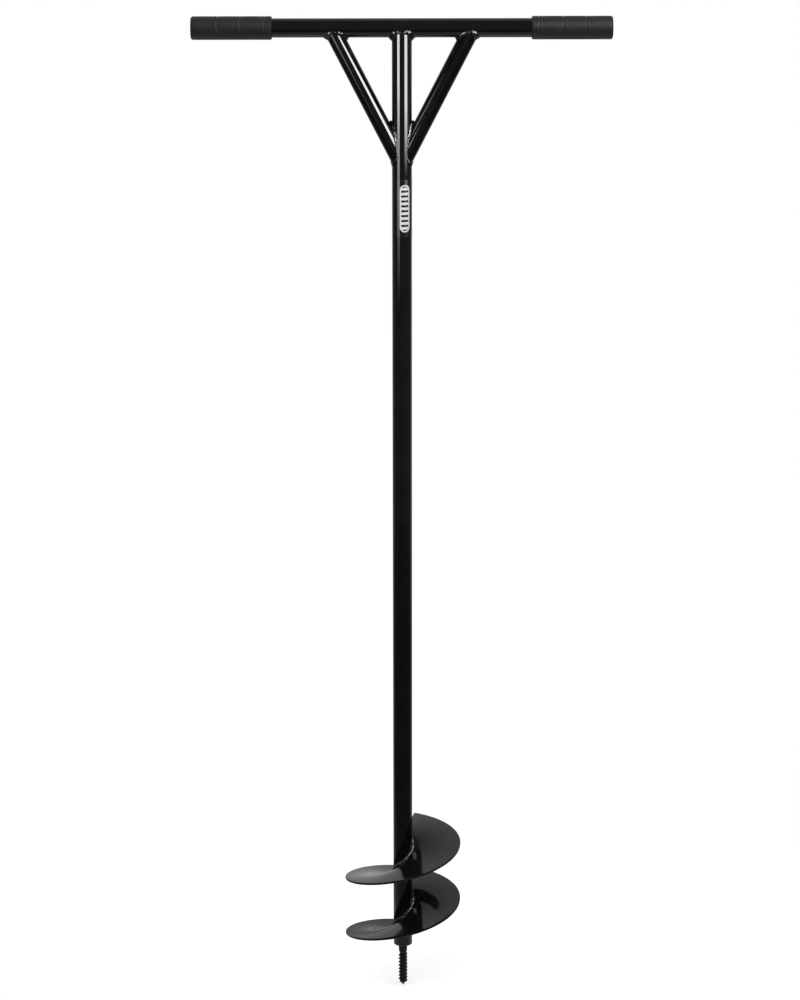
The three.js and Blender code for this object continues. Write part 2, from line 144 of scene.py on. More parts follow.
# Pilot screw
SCREW_SEAT_RADIUS = 5 * MM
SCREW_SEAT_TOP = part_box("pilot_screw")[1].z
SCREW_NECK_RADIUS = 5.95 * MM
SCREW_SHANK_RADIUS = 5.4 * MM
SCREW_NECK_LENGTH = 12.5 * MM
THREAD_RADIUS = 5.85 * MM
THREAD_ROOT_RADIUS = 4.35 * MM
THREAD_PITCH = 4.7 * MM
THREAD_START = 1.95 * MM
THREAD_TOP = SHAFT_FOOT - SCREW_NECK_LENGTH
TIP_LENGTH = 6.4 * MM
TIP_RADIUS = 0.02 * MM
TIP_SLIMMEST = 0.05  # the thread's least reach near the tip, as a share of its radius
THREAD_CREST_SHARE = 0.14
THREAD_FLANK_SHARE = 0.26
THREAD_RUNOUT_TURNS = 0.4

# Label
LABEL_LOW, LABEL_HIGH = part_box("shaft_label")
LABEL_START = math.radians(-125)
LABEL_SWEEP = math.radians(150)
LABEL_THICKNESS = 0.12 * MM
LABEL_CORNER = 3 * MM

# Fineness of the skins
TUBE_SIDES = 128
ROUND_STEPS = 8
BEAD_FACE_STEPS = 16
STEPS_PER_RIPPLE = 7
FLIGHT_STEPS_PER_TURN = 240
FLIGHT_RINGS = 30
GRIP_ROWS = 260
SCREW_SIDES = 72
SCREW_WELD_STEPS = 140
THREAD_ROWS = 460
SHARP_ANGLE = math.radians(38)


# Meshes

def grid_faces(rows, columns, loop_rows, loop_columns):
    index = np.arange(rows * columns).reshape(rows, columns)
    if loop_rows:
        index = np.vstack([index, index[:1]])
    if loop_columns:
        index = np.hstack([index, index[:, :1]])
    corners = [index[:-1, :-1], index[1:, :-1], index[1:, 1:], index[:-1, 1:]]
    return np.stack(corners, axis=-1).reshape(-1, 4).tolist()


def skin_piece(name, points, material, loop_rows=False, loop_columns=True, caps=False):
    """A closed piece skinned over rows of points. Caps close the first and the last row."""
    rows, columns = points.shape[:2]
    faces = grid_faces(rows, columns, loop_rows, loop_columns)
    if caps:
        faces.append(list(range(columns)))
        faces.append(list(range((rows - 1) * columns, rows * columns)))
    mesh = bpy.data.meshes.new(name)
    mesh.from_pydata(points.reshape(-1, 3).tolist(), [], faces)
    made = bmesh.new()
    made.from_mesh(mesh)
    bmesh.ops.recalc_face_normals(made, faces=made.faces)
    for face in made.faces:
        face.smooth = True
    for edge in made.edges:
        edge.smooth = edge.calc_face_angle(0) < SHARP_ANGLE
    made.to_mesh(mesh)
    made.free()
    mesh.materials.append(material)
    piece = bpy.data.objects.new(name, mesh)
    bpy.context.scene.collection.objects.link(piece)
    return piece


# The finishes that show each pair of softboxes. The right brace alone shows the glint.
LOW_SOFTBOX_SLOTS = ("shaft_paint", "handle_paint", "weld_paint", "point_paint", "label_film")
HIGH_SOFTBOX_SLOTS = ("grip_rubber", "weld_paint")
LOW_SOFTBOX_LIT = bpy.data.collections.new("low_softbox_lit")
HIGH_SOFTBOX_LIT = bpy.data.collections.new("high_softbox_lit")
BRACE_GLINT_LIT = bpy.data.collections.new("brace_glint_lit")


def dress(node, slot, points, material, **form):
    """The piece that stands for a node of the model."""
    piece = skin_piece(node + "_finish", points, material, **form)
    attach(piece, "root")
    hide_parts(node)
    if slot in LOW_SOFTBOX_SLOTS:
        LOW_SOFTBOX_LIT.objects.link(piece)
    if slot in HIGH_SOFTBOX_SLOTS:
        HIGH_SOFTBOX_LIT.objects.link(piece)
    return piece


def around(radius, turn, height):
    """Points on circles round the Z axis."""
    radius, turn, height = np.broadcast_arrays(radius, turn, height)
    return np.stack([radius * np.cos(turn), radius * np.sin(turn), height], axis=-1)


def corner_arc(radius, height, size, start, end):
    """A rounded corner of a profile: its radii and heights."""
    turn = np.linspace(start, end, ROUND_STEPS)
    return radius + size * np.cos(turn), height + size * np.sin(turn)


def unit(vectors):
    return vectors / np.linalg.norm(vectors, axis=-1, keepdims=True)


def smoothstep(value):
    value = np.clip(value, 0, 1)
    return value * value * (3 - 2 * value)


def wander(places, length, seed):
    """Smooth noise between -1 and 1 along a line, with features about as long as said."""
    random = np.random.default_rng(seed)
    total = np.zeros_like(places)
    for octave in range(4):
        waves = 2**octave / length
        total += np.sin(FULL_TURN * (places * waves + random.random())) / 2**octave
    return total / 2


# Tubes

Tube = namedtuple("Tube", "start end radius")


def axis_of(tube):
    return unit(np.subtract(tube.end, tube.start))


SHAFT = Tube((0, 0, SHAFT_FOOT), (0, 0, BAR_HEIGHT), SHAFT_RADIUS)
BAR = Tube((-BAR_HALF_LENGTH, 0, BAR_HEIGHT), (BAR_HALF_LENGTH, 0, BAR_HEIGHT), BAR_RADIUS)


def brace(side):
    return Tube((0, 0, BRACE_MEET), (side * BRACE_SPREAD, 0, BAR_HEIGHT), BRACE_RADIUS)


def rays_round(tube, radius, turn):
    """Points round a tube's middle and the directions out of its axis. The turn starts in the XZ plane."""
    axis = axis_of(tube)
    across = np.array([axis[2], 0, -axis[0]])
    outward = np.outer(np.cos(turn), across) + np.outer(np.sin(turn), [0, 1, 0])
    centre = (np.array(tube.start) + np.array(tube.end)) / 2
    return centre + radius * outward, outward


def meet(points, along, run):
    """Moves points along a direction to where they reach the skin of another tube."""
    axis = axis_of(run)
    offset = points - np.array(run.start)
    offset = offset - np.outer(offset @ axis, axis)
    travel = along - (along @ axis) * axis
    speed = np.linalg.norm(travel)
    nearest = -(offset @ travel) / speed**2
    sideways = np.linalg.norm(offset + np.outer(nearest, travel), axis=1)
    limited = np.minimum(sideways, EAR_SHARE * run.radius)
    reach = nearest - np.sqrt(run.radius**2 - limited**2) / speed
    return points + np.outer(reach, along)


def coped_tube(tube, low_run, high_run):
    """A hollow tube whose ends are cut to the tubes that it meets."""
    turn = np.linspace(0, FULL_TURN, TUBE_SIDES, endpoint=False)
    along = axis_of(tube)
    rows = []
    for radius, ends in ((tube.radius - TUBE_WALL, (-1, 1)), (tube.radius, (1, -1))):
        points, _ = rays_round(tube, radius, turn)
        for end in ends:
            run = high_run if end > 0 else low_run
            rows.append(meet(points, end * along, run))
    return np.array(rows)


def shaft_points():
    turn = np.linspace(0, FULL_TURN, TUBE_SIDES, endpoint=False)
    bore = SHAFT_RADIUS - TUBE_WALL
    edge = (SHAFT_RADIUS - SHAFT_EDGE, SHAFT_FOOT + SHAFT_EDGE, SHAFT_EDGE)
    radii, heights = corner_arc(*edge, -math.pi / 2, 0)
    rows = [around(bore, turn, SHAFT_FOOT)]
    rows += [around(radius, turn, height) for radius, height in zip(radii, heights)]
    up = np.array([0.0, 0.0, 1.0])
    rows.append(meet(around(SHAFT_RADIUS, turn, SHAFT_FOOT), up, BAR))
    rows.append(meet(around(bore, turn, SHAFT_FOOT), up, BAR))
    return np.array(rows)


def crossbar_points():
    turn = np.linspace(0, FULL_TURN, TUBE_SIDES, endpoint=False)
    bore = BAR_RADIUS - TUBE_WALL
    profile = [(bore, -1), (bore, 1), (BAR_RADIUS, 1), (BAR_RADIUS, -1)]
    return np.array([along_x(radius, turn, side * BAR_HALF_LENGTH) for radius, side in profile])


def along_x(radius, turn, place):
    """Points on circles round the crossbar's axis. The turn starts at the top."""
    radius, turn, place = np.broadcast_arrays(radius, turn, place)
    return np.stack([place, radius * np.sin(turn), BAR_HEIGHT + radius * np.cos(turn)], axis=-1)


# Grips

def rib_rise(along, turn):
    """How far the skin of a grip stands out: low ribs with slightly swollen stretches between them."""
    from_top = np.abs((turn + math.pi) % FULL_TURN - math.pi)
    fade = 1 - smoothstep((from_top - RIB_FADE[0]) / (RIB_FADE[1] - RIB_FADE[0]))
    ribs = np.array(RIB_SHARES) * GRIP_LENGTH
    bend = np.outer(smoothstep((from_top - RIB_BEND_FROM) / RIB_BEND_OVER), RIB_BENDS)
    beyond = (along - ribs + bend) / RIB_WIDTH
    rib = RIB_RISE * np.exp(-((RIB_SHARPNESS * beyond) ** 2))
    rib -= RIB_GROOVE * np.exp(-((RIB_SHARPNESS * (beyond + RIB_GROOVE_OFF)) ** 2))
    borders = np.concatenate([[0], ribs, [GRIP_LENGTH]])
    place = np.searchsorted(borders, along, side="right").clip(1, len(borders) - 1)
    low, high = borders[place - 1], borders[place]
    crown = PAD_CROWN * (4 * (along - low) * (high - along) / (high - low) ** 2) ** 0.5
    return fade * (rib.sum(axis=1) + crown - PAD_CROWN)


def grip_points(side):
    turn = np.linspace(0, FULL_TURN, TUBE_SIDES, endpoint=False)
    bore = BAR_RADIUS + WELD_SINK
    body = np.linspace(GRIP_CHAMFER, GRIP_LENGTH - GRIP_END_RADIUS, GRIP_ROWS)
    centre = (GRIP_RADIUS - GRIP_END_RADIUS, GRIP_LENGTH - GRIP_END_RADIUS, GRIP_END_RADIUS)
    end_radii, end_places = corner_arc(*centre, 0, math.pi / 2)
    profile = [(bore, GRIP_LENGTH - GRIP_END_THICKNESS), (bore, 0)]
    profile += [(GRIP_RADIUS - GRIP_CHAMFER, 0)]
    profile += [(GRIP_RADIUS, place) for place in body]
    profile += list(zip(end_radii[1:], end_places[1:]))
    rows = []
    for radius, place in profile:
        skin_share = smoothstep((radius - bore) / (GRIP_RADIUS - bore))
        rise = rib_rise(place, turn) * skin_share
        rows.append(along_x(radius + rise, side * turn, side * (GRIP_MOUTH + place)))
    return np.array(rows)


# Weld beads

def ripple(places, across):
    """Curved ripples of a bead: places along it in metres, across from 0 to 1."""
    bend = RIPPLE_CURVE * np.sin(math.pi * across)
    phase = places / RIPPLE_LENGTH - bend
    wave = 0.5 + 0.5 * np.cos(FULL_TURN * phase)
    return RIPPLE_HEIGHT * wave**1.5 * np.sin(math.pi * across) ** 0.7


def fillet(root, low_toe, high_toe, out, crown, bulge, places, seed):
    """Rows of a fillet bead between two toes. Each row runs over the face, then back through the root."""
    across = np.linspace(0, 1, BEAD_FACE_STEPS)
    rows = []
    uneven = 1 + FILLET_UNEVENNESS * wander(places, 9 * RIPPLE_LENGTH, seed)
    for index, place in enumerate(places):
        quarter = across * math.pi / 2
        low_share = (1 - bulge) * (1 - across) + bulge * np.cos(quarter)
        high_share = (1 - bulge) * across + bulge * np.sin(quarter)
        low_leg = (low_toe[index] - root[index]) * uneven[index]
        high_leg = (high_toe[index] - root[index]) * uneven[index]
        face = root[index] + np.outer(low_share, low_leg) + np.outer(high_share, high_leg)
        drift = RIPPLE_DRIFT * RIPPLE_LENGTH * perlin.noise(Vector(root[index] / (3 * RIPPLE_LENGTH)))
        bow = np.sin(math.pi * across)
        lumps = np.array([perlin.noise(Vector(point / LUMP_LENGTH)) for point in face])
        rise = ripple(place + drift, across) + crown[index] * bow**0.8 + LUMP_HEIGHT * lumps * bow**0.5
        face += np.outer(rise, out[index])
        inside = root[index] - WELD_ROOT_SINK * out[index]
        sunk_low = face[0] + (inside - face[0]) * 0.1
        sunk_high = face[-1] + (inside - face[-1]) * 0.1
        rows.append(np.vstack([face, sunk_high, inside, sunk_low]))
    return np.array(rows)


def path_length(points):
    steps = np.linalg.norm(np.diff(points, axis=0), axis=1)
    return np.concatenate([[0], np.cumsum(steps)])


def onto(points, tube):
    """Points moved to the skin of a tube, a little way into it."""
    axis = axis_of(tube)
    offset = points - np.array(tube.start)
    along = offset @ axis
    base = np.array(tube.start) + np.outer(along, axis)
    return base + (tube.radius - WELD_SINK) * unit(points - base)


def saddle_bead(branch, run, toward_run, sizes, bulge, seed):
    """A fillet bead round the end of a branch tube, on a run tube.

    toward_run is 1 or -1, along the branch's axis. sizes gives the legs on the branch and on the run
    for each angle round the branch.
    """
    rough = int(FULL_TURN * branch.radius / RIPPLE_LENGTH) * STEPS_PER_RIPPLE
    turn = np.linspace(0, FULL_TURN, rough, endpoint=False)
    start, outward = rays_round(branch, branch.radius, turn)
    along = toward_run * axis_of(branch)
    root = meet(start, along, run)
    tangent = unit(np.roll(root, -1, axis=0) - np.roll(root, 1, axis=0))
    run_axis = axis_of(run)
    offset = root - np.array(run.start)
    run_normal = unit(offset - np.outer(offset @ run_axis, run_axis))
    over_run = unit(np.cross(tangent, run_normal))
    over_run *= np.sign(np.sum(over_run * outward, axis=1, keepdims=True) + 1e-9)
    branch_leg, run_leg = sizes(turn)
    ear = np.sin(turn) ** 4
    branch_leg = branch_leg * (1 - EAR_THINNING * ear)
    low_toe = onto(root - branch_leg[:, None] * along, branch)
    high_toe = onto(root + run_leg[:, None] * over_run, run)
    closed = np.vstack([root, root[:1]])
    lengths = path_length(closed)
    whole = lengths[-1]
    ripples = round(whole / RIPPLE_LENGTH)
    places = lengths[:-1] * ripples * RIPPLE_LENGTH / whole
    out = unit(outward + run_normal)
    return fillet(root, low_toe, high_toe, out, EAR_CROWN * run_leg * ear, bulge, places, seed)


def even_legs(size):
    return lambda turn: (np.full_like(turn, size), np.full_like(turn, size))


def crotch_legs(side):
    def legs(turn):
        crotch = np.maximum(0, -side * np.cos(turn)) ** 2
        size = BRACE_WELD + (CROTCH_WELD - BRACE_WELD) * crotch
        return size, size * (1 - FRONT_THINNING * np.sin(turn) ** 4)
    return legs


# Blades

def plate_middle(radius, turn):
    climb = FLIGHT_PITCH * (turn - FLIGHT_FOOT) / FULL_TURN
    lean = FLIGHT_LEAN * radius / FLIGHT_RADIUS * np.cos(turn)
    return SHAFT_FOOT + FLIGHT_FOOT_RISE + climb + lean


def plate_half(radius):
    """Half of the plate's upright thickness, which grows where the plate is steep."""
    return FLIGHT_PLATE / 2 * np.hypot(1, FLIGHT_PITCH / (FULL_TURN * radius))


def plate_top(radius, turn):
    return plate_middle(radius, turn) + plate_half(radius)


def flight_section():
    """The outline of a blade's section: radii, and heights as shares of the half thickness."""
    inner = SHAFT_RADIUS - WELD_SINK
    flat = inner + (FLIGHT_RADIUS - FLIGHT_EDGE - inner) * np.linspace(0, 1, FLIGHT_RINGS) ** 1.3
    edge_share = FLIGHT_EDGE / plate_half(FLIGHT_RADIUS)
    bend = np.linspace(0, math.pi / 2, 5)
    rim = FLIGHT_RADIUS - FLIGHT_EDGE + FLIGHT_EDGE * np.sin(bend[1:])
    rim_share = 1 - edge_share + edge_share * np.cos(bend[1:])
    radii = np.concatenate([flat, rim])
    shares = np.concatenate([np.ones_like(flat), rim_share])
    return np.concatenate([radii, radii[::-1]]), np.concatenate([-shares, shares[::-1]])


def flight_points(low, high):
    radii, shares = flight_section()
    half = plate_half(radii)
    steps = math.ceil((high - low) / FULL_TURN * FLIGHT_STEPS_PER_TURN)
    rows = []
    for turn in np.linspace(low, high, steps + 1):
        rows.append(around(radii, turn, plate_middle(radii, turn) + shares * half))
    return np.array(rows)


def flight_weld_points(low, high, seed):
    gap = JOINT_GAP / 2 / SHAFT_RADIUS
    length = (high - low) * math.hypot(SHAFT_RADIUS, FLIGHT_PITCH / FULL_TURN)
    ripples = round(length / RIPPLE_LENGTH)
    turn = np.linspace(low + gap, high - gap, ripples * STEPS_PER_RIPPLE)
    places = np.linspace(0, ripples * RIPPLE_LENGTH, len(turn))
    rounding = np.sqrt(1 - (1 - np.clip(places / FLIGHT_WELD, 0, 1)) ** 2)
    rounding *= np.sqrt(1 - (1 - np.clip((places[-1] - places) / FLIGHT_WELD, 0, 1)) ** 2)
    full = 0.5 - 0.5 * np.cos(turn - FLIGHT_WELD_SLIM_TURN)
    leg = FLIGHT_WELD * (FLIGHT_WELD_SLIM + (1 - FLIGHT_WELD_SLIM) * full)
    leg *= FLIGHT_WELD_END + (1 - FLIGHT_WELD_END) * rounding
    inner = SHAFT_RADIUS - WELD_SINK
    root = around(SHAFT_RADIUS, turn, plate_top(SHAFT_RADIUS, turn))
    low_toe = around(SHAFT_RADIUS + leg, turn, plate_top(SHAFT_RADIUS + leg, turn) - WELD_SINK)
    high_toe = around(inner, turn, plate_top(SHAFT_RADIUS, turn) + leg)
    slope = FLIGHT_PITCH / (FULL_TURN * SHAFT_RADIUS)
    upright = unit(np.stack([slope * np.sin(turn), -slope * np.cos(turn), np.ones_like(turn)], axis=-1))
    out = unit(around(1, turn, 0) + upright)
    return fillet(root, low_toe, high_toe, out, FLIGHT_WELD_CROWN * leg, CONVEX, places, seed)


def butt_weld_points():
    """The bead over the joint of the two blades, from their own beads out to the rim."""
    start = SHAFT_RADIUS + FLIGHT_WELD_SLIM * FLIGHT_WELD
    end = FLIGHT_RADIUS - FLIGHT_EDGE
    ripples = round((end - start) / RIPPLE_LENGTH)
    places = np.linspace(0, ripples * RIPPLE_LENGTH, ripples * STEPS_PER_RIPPLE)
    across = np.linspace(0, 1, BEAD_FACE_STEPS)
    rows = []
    for place, uneven in zip(places, wander(places, 8 * RIPPLE_LENGTH, 41)):
        along = start + (end - start) * place / places[-1]
        beside = BUTT_WELD_WIDTH * (1 + BEAD_UNEVENNESS * uneven) * (across - 0.5)
        radius = np.hypot(along, beside)
        turn = FLIGHT_JOINT + np.arctan2(beside, along)
        crown = BUTT_WELD_HEIGHT * np.sin(math.pi * across) ** 0.8 - WELD_SINK
        rise = crown + ripple(place, across)
        face = around(radius, turn, plate_top(radius, turn) + rise)
        under = around(radius, turn, plate_top(radius, turn) - WELD_ROOT_SINK)
        rows.append(np.vstack([face, under[::-1][1:-1]]))
    return np.array(rows)


# Pilot screw

def screw_core(height):
    """The radius of the screw under its thread."""
    taper_top = THREAD_TOP + THREAD_PITCH / 2
    places = [0, TIP_LENGTH, THREAD_TOP, taper_top, SHAFT_FOOT]
    radii = [0, THREAD_ROOT_RADIUS, THREAD_ROOT_RADIUS, SCREW_SHANK_RADIUS, SCREW_NECK_RADIUS]
    return np.interp(height, places, radii)


def screw_points():
    turn = np.linspace(0, FULL_TURN, SCREW_SIDES, endpoint=False)
    rows = [around(SCREW_SEAT_RADIUS, turn, SCREW_SEAT_TOP)]
    rows.append(around(SCREW_SEAT_RADIUS, turn, SHAFT_FOOT))
    crest_half = THREAD_CREST_SHARE * THREAD_PITCH / 2
    flank = THREAD_FLANK_SHARE * THREAD_PITCH
    for height in np.linspace(SHAFT_FOOT, 0.1 * MM, THREAD_ROWS):
        core = screw_core(height)
        wave = (height - THREAD_START) / THREAD_PITCH - turn / FULL_TURN
        apart = np.abs(wave - np.round(wave)) * THREAD_PITCH
        ridge = smoothstep(1 - (apart - crest_half) / flank)
        pointed = min(1, height / TIP_LENGTH)
        runout = np.clip((THREAD_TOP - height) / (THREAD_RUNOUT_TURNS * THREAD_PITCH), 0, 1)
        rise = (THREAD_RADIUS - THREAD_ROOT_RADIUS) * pointed**0.5 * smoothstep(runout)
        crest_limit = THREAD_RADIUS * max(pointed, TIP_SLIMMEST)
        rows.append(around(np.minimum(core + rise * ridge, np.maximum(crest_limit, core)), turn, height))
    rows.append(around(TIP_RADIUS, turn, 0))
    return np.array(rows)


def screw_weld_points():
    turn = np.linspace(0, FULL_TURN, SCREW_WELD_STEPS, endpoint=False)
    places = turn * SCREW_NECK_RADIUS
    root = around(SCREW_NECK_RADIUS, turn, SHAFT_FOOT)
    uneven = 1 + BEAD_UNEVENNESS * wander(turn / FULL_TURN, 1, 51)
    low_toe = around(SCREW_NECK_RADIUS - WELD_SINK, turn, SHAFT_FOOT - SCREW_WELD * uneven)
    high_toe = around(SCREW_NECK_RADIUS + SCREW_WELD * uneven, turn, SHAFT_FOOT + WELD_SINK)
    out = unit(around(1, turn, -1))
    return fillet(root, low_toe, high_toe, out, np.zeros_like(turn), SCREW_WELD_BULGE, places, 52)


# Label

def label_points():
    """A thin film with rounded corners, wrapped part of the way round the shaft."""
    middle_turn = LABEL_START + LABEL_SWEEP / 2
    height = LABEL_HIGH.z - LABEL_LOW.z
    half_width = LABEL_SWEEP / 2 * SHAFT_RADIUS
    fine = LABEL_CORNER * (1 - np.cos(np.linspace(0, math.pi / 2, 12)))
    plain = np.linspace(LABEL_CORNER, height - LABEL_CORNER, 40)[1:-1]
    levels = np.concatenate([fine, plain, height - fine[::-1]])
    across = np.linspace(-1, 1, 61)
    rows = []
    for level in levels:
        into = max(0, LABEL_CORNER - min(level, height - level))
        inset = LABEL_CORNER - math.sqrt(max(0, LABEL_CORNER**2 - into**2))
        turn = middle_turn + (half_width - inset) * across / SHAFT_RADIUS
        outer = around(SHAFT_RADIUS + LABEL_THICKNESS, turn, LABEL_LOW.z + level)
        inner = around(SHAFT_RADIUS - LABEL_THICKNESS, turn, LABEL_LOW.z + level)
        rows.append(np.vstack([outer, inner[::-1]]))
    return np.array(rows)


# Finishes

PAINT_IOR = 1.45


def node_of(tree, kind, inputs=None, **settings):
    made = tree.nodes.new(kind)
    for key, value in settings.items():
        setattr(made, key, value)
    for key, value in (inputs or {}).items():
        if isinstance(value, bpy.types.NodeSocket):
            tree.links.new(value, made.inputs[key])
        else:
            made.inputs[key].default_value = value
    return made


def calculate(tree, operation, *values):
    made = tree.nodes.new("ShaderNodeMath")
    made.operation = operation
    for index, value in enumerate(values):
        if isinstance(value, bpy.types.NodeSocket):
            tree.links.new(value, made.inputs[index])
        else:
            made.inputs[index].default_value = value
    return made.outputs[0]


def noise(tree, place, scale, detail=2.0, roughness=0.5):
    inputs = {"Vector": place, "Scale": scale, "Detail": detail, "Roughness": roughness}
    return node_of(tree, "ShaderNodeTexNoise", inputs).outputs["Fac"]


def spread(tree, value, low, high, low_to, high_to, interpolation="SMOOTHSTEP"):
    """A value between two limits, turned into another range."""
    inputs = {"Value": value, "From Min": low, "From Max": high, "To Min": low_to, "To Max": high_to}
    made = node_of(tree, "ShaderNodeMapRange", inputs, interpolation_type=interpolation)
    return made.outputs["Result"]


def blend_colours(tree, factor, first, second):
    made = tree.nodes.new("ShaderNodeMix")
    made.data_type = "RGBA"
    for index, value in ((0, factor), (6, first), (7, second)):
        if isinstance(value, bpy.types.NodeSocket):
            tree.links.new(value, made.inputs[index])
        elif index:
            made.inputs[index].default_value = (*value, 1)
        else:
            made.inputs[index].default_value = value
    return made.outputs[2]


def finish(name):
    material = bpy.data.materials.new(name)
    material.use_nodes = True
    tree = material.node_tree
    shader = tree.nodes["Principled BSDF"]
    place = tree.nodes.new("ShaderNodeTexCoord").outputs["Object"]
    return material, tree, shader, place


def bump(tree, shader, layers):
    """Bump layers, each a height from 0 to 1 and its depth in metres."""
    normal = None
    for height, depth in layers:
        inputs = {"Height": height, "Distance": depth, "Strength": 1.0}
        if normal is not None:
            inputs["Normal"] = normal
        normal = node_of(tree, "ShaderNodeBump", inputs).outputs["Normal"]
    tree.links.new(normal, shader.inputs["Normal"])


def gloss_paint(name, dark, light, roughness, peel_depth, peel_scale, specular=0.5):
    """Black paint: a faint mottle, orange peel and a few specks of dust under the gloss."""
    material, tree, shader, place = finish(name)
    mottle = noise(tree, place, 45, 4)
    colour = blend_colours(tree, spread(tree, mottle, 0.35, 0.7, 0, 1), dark, light)
    cells = node_of(tree, "ShaderNodeTexVoronoi", {"Vector": place, "Scale": 190.0}, feature="F1")
    speck = spread(tree, cells.outputs["Distance"], 0.05, 0.09, 1, 0)
    rare = spread(tree, node_of(tree, "ShaderNodeSeparateColor", {0: cells.outputs["Color"]}).outputs[0],
                  0.93, 0.95, 0, 1)
    dust = calculate(tree, "MULTIPLY", speck, rare)
    tree.links.new(blend_colours(tree, dust, colour, (0.05, 0.05, 0.048)), shader.inputs["Base Color"])
    smear = noise(tree, place, 18, 5, 0.6)
    gloss = spread(tree, smear, 0.3, 0.75, roughness * 0.8, roughness * 1.35)
    tree.links.new(calculate(tree, "ADD", gloss, calculate(tree, "MULTIPLY", dust, 0.3)),
                   shader.inputs["Roughness"])
    shader.inputs["IOR"].default_value = PAINT_IOR
    shader.inputs["Specular IOR Level"].default_value = specular
    peel = noise(tree, place, peel_scale, 2)
    swell = noise(tree, place, peel_scale / 6, 2)
    bump(tree, shader, [(swell, peel_depth * 2.5), (peel, peel_depth), (dust, 0.02 * MM)])
    return material


FORGED_SPECULAR = 0.18


def forged_paint(name):
    """Thin satin paint over forged steel, slightly brown, and paler at the neck than at the tip."""
    material, tree, shader, place = finish(name)
    mottle = noise(tree, place, 160, 5, 0.65)
    stain = noise(tree, place, 60, 3)
    colour = blend_colours(tree, spread(tree, mottle, 0.3, 0.7, 0, 1), (0.002, 0.002, 0.0019),
                           (0.005, 0.0048, 0.0042))
    colour = blend_colours(tree, spread(tree, stain, 0.5, 0.8, 0, 0.5), colour, (0.009, 0.008, 0.006))
    height = node_of(tree, "ShaderNodeSeparateXYZ", {0: place}).outputs["Z"]
    colour = blend_colours(tree, spread(tree, height, 0, THREAD_TOP, 0, 0.7), colour, (0.012, 0.011, 0.009))
    tree.links.new(colour, shader.inputs["Base Color"])
    tree.links.new(spread(tree, mottle, 0.3, 0.7, 0.2, 0.36), shader.inputs["Roughness"])
    shader.inputs["IOR"].default_value = PAINT_IOR
    shader.inputs["Specular IOR Level"].default_value = FORGED_SPECULAR
    bump(tree, shader, [(noise(tree, place, 700, 3), 0.03 * MM), (mottle, 0.05 * MM)])
    return material


def rubber(name):
    """Matte moulded rubber with a fine grain, slightly polished where hands rub it."""
    material, tree, shader, place = finish(name)
    mottle = noise(tree, place, 70, 5, 0.6)
    handled = noise(tree, place, 22, 3)
    colour = blend_colours(tree, spread(tree, mottle, 0.3, 0.7, 0, 1), (0.0112, 0.0112, 0.0104),
                           (0.0164, 0.0162, 0.0150))
    tree.links.new(colour, shader.inputs["Base Color"])
    tree.links.new(spread(tree, handled, 0.3, 0.7, 0.57, 0.45), shader.inputs["Roughness"])
    shader.inputs["IOR"].default_value = PAINT_IOR
    grain = node_of(tree, "ShaderNodeTexVoronoi", {"Vector": place, "Scale": 1500.0}, feature="F1")
    bump(tree, shader, [(mottle, 0.06 * MM), (grain.outputs["Distance"], 0.04 * MM)])
    return material


# Print on the label: a plain white panel with round ends that carries a row of plain bars
PANEL_HALF_WIDTH = 6.4 * MM
PANEL_HALF_HEIGHT = 29.5 * MM
PANEL_TURN = math.radians(17)  # from the front, round towards +X
BAR_SPACING = 6.1 * MM
BAR_SHARE = 0.46
BAR_MARGIN = 1.7 * MM


def rounded_panel(tree, across, up, half_width, half_height):
    """1 inside a panel with round ends, 0 outside."""
    straight = half_height - half_width
    beyond = calculate(tree, "MAXIMUM", calculate(tree, "SUBTRACT", up, straight), 0.0)
    squares = [calculate(tree, "MULTIPLY", value, value) for value in (across, beyond)]
    reach = calculate(tree, "SQRT", calculate(tree, "ADD", *squares))
    return spread(tree, reach, half_width - 0.1 * MM, half_width + 0.1 * MM, 1, 0, "LINEAR")


def printed_film(name):
    """Clear film over the paint, with the printed panel."""
    material, tree, shader, place = finish(name)
    x, y, z = node_of(tree, "ShaderNodeSeparateXYZ", {0: place}).outputs
    turn = calculate(tree, "ARCTAN2", x, calculate(tree, "MULTIPLY", y, -1.0))
    across = calculate(tree, "MULTIPLY", calculate(tree, "SUBTRACT", turn, PANEL_TURN), SHAFT_RADIUS)
    up = calculate(tree, "SUBTRACT", z, (LABEL_LOW.z + LABEL_HIGH.z) / 2)
    up_size = calculate(tree, "ABSOLUTE", up)
    panel = rounded_panel(tree, across, up_size, PANEL_HALF_WIDTH, PANEL_HALF_HEIGHT)
    field_size = (PANEL_HALF_WIDTH - BAR_MARGIN, PANEL_HALF_HEIGHT - BAR_MARGIN)
    field = rounded_panel(tree, across, up_size, *field_size)
    wave = calculate(tree, "FRACT", calculate(tree, "DIVIDE", up, BAR_SPACING))
    from_middle = calculate(tree, "ABSOLUTE", calculate(tree, "SUBTRACT", wave, 0.5))
    bars = spread(tree, from_middle, BAR_SHARE / 2 - 0.02, BAR_SHARE / 2 + 0.02, 1, 0, "LINEAR")
    ink = calculate(tree, "MULTIPLY", bars, field)
    grime = noise(tree, place, 260, 4)
    film = blend_colours(tree, grime, (0.004, 0.004, 0.004), (0.010, 0.010, 0.0095))
    white = blend_colours(tree, grime, (0.78, 0.79, 0.77), (0.86, 0.86, 0.84))
    colour = blend_colours(tree, panel, film, white)
    colour = blend_colours(tree, ink, colour, (0.01, 0.01, 0.01))
    tree.links.new(colour, shader.inputs["Base Color"])
    tree.links.new(spread(tree, grime, 0.3, 0.7, 0.1, 0.18), shader.inputs["Roughness"])
    shader.inputs["IOR"].default_value = PAINT_IOR
    bump(tree, shader, [(noise(tree, place, 120, 3), 0.03 * MM), (panel, 0.01 * MM)])
    return material


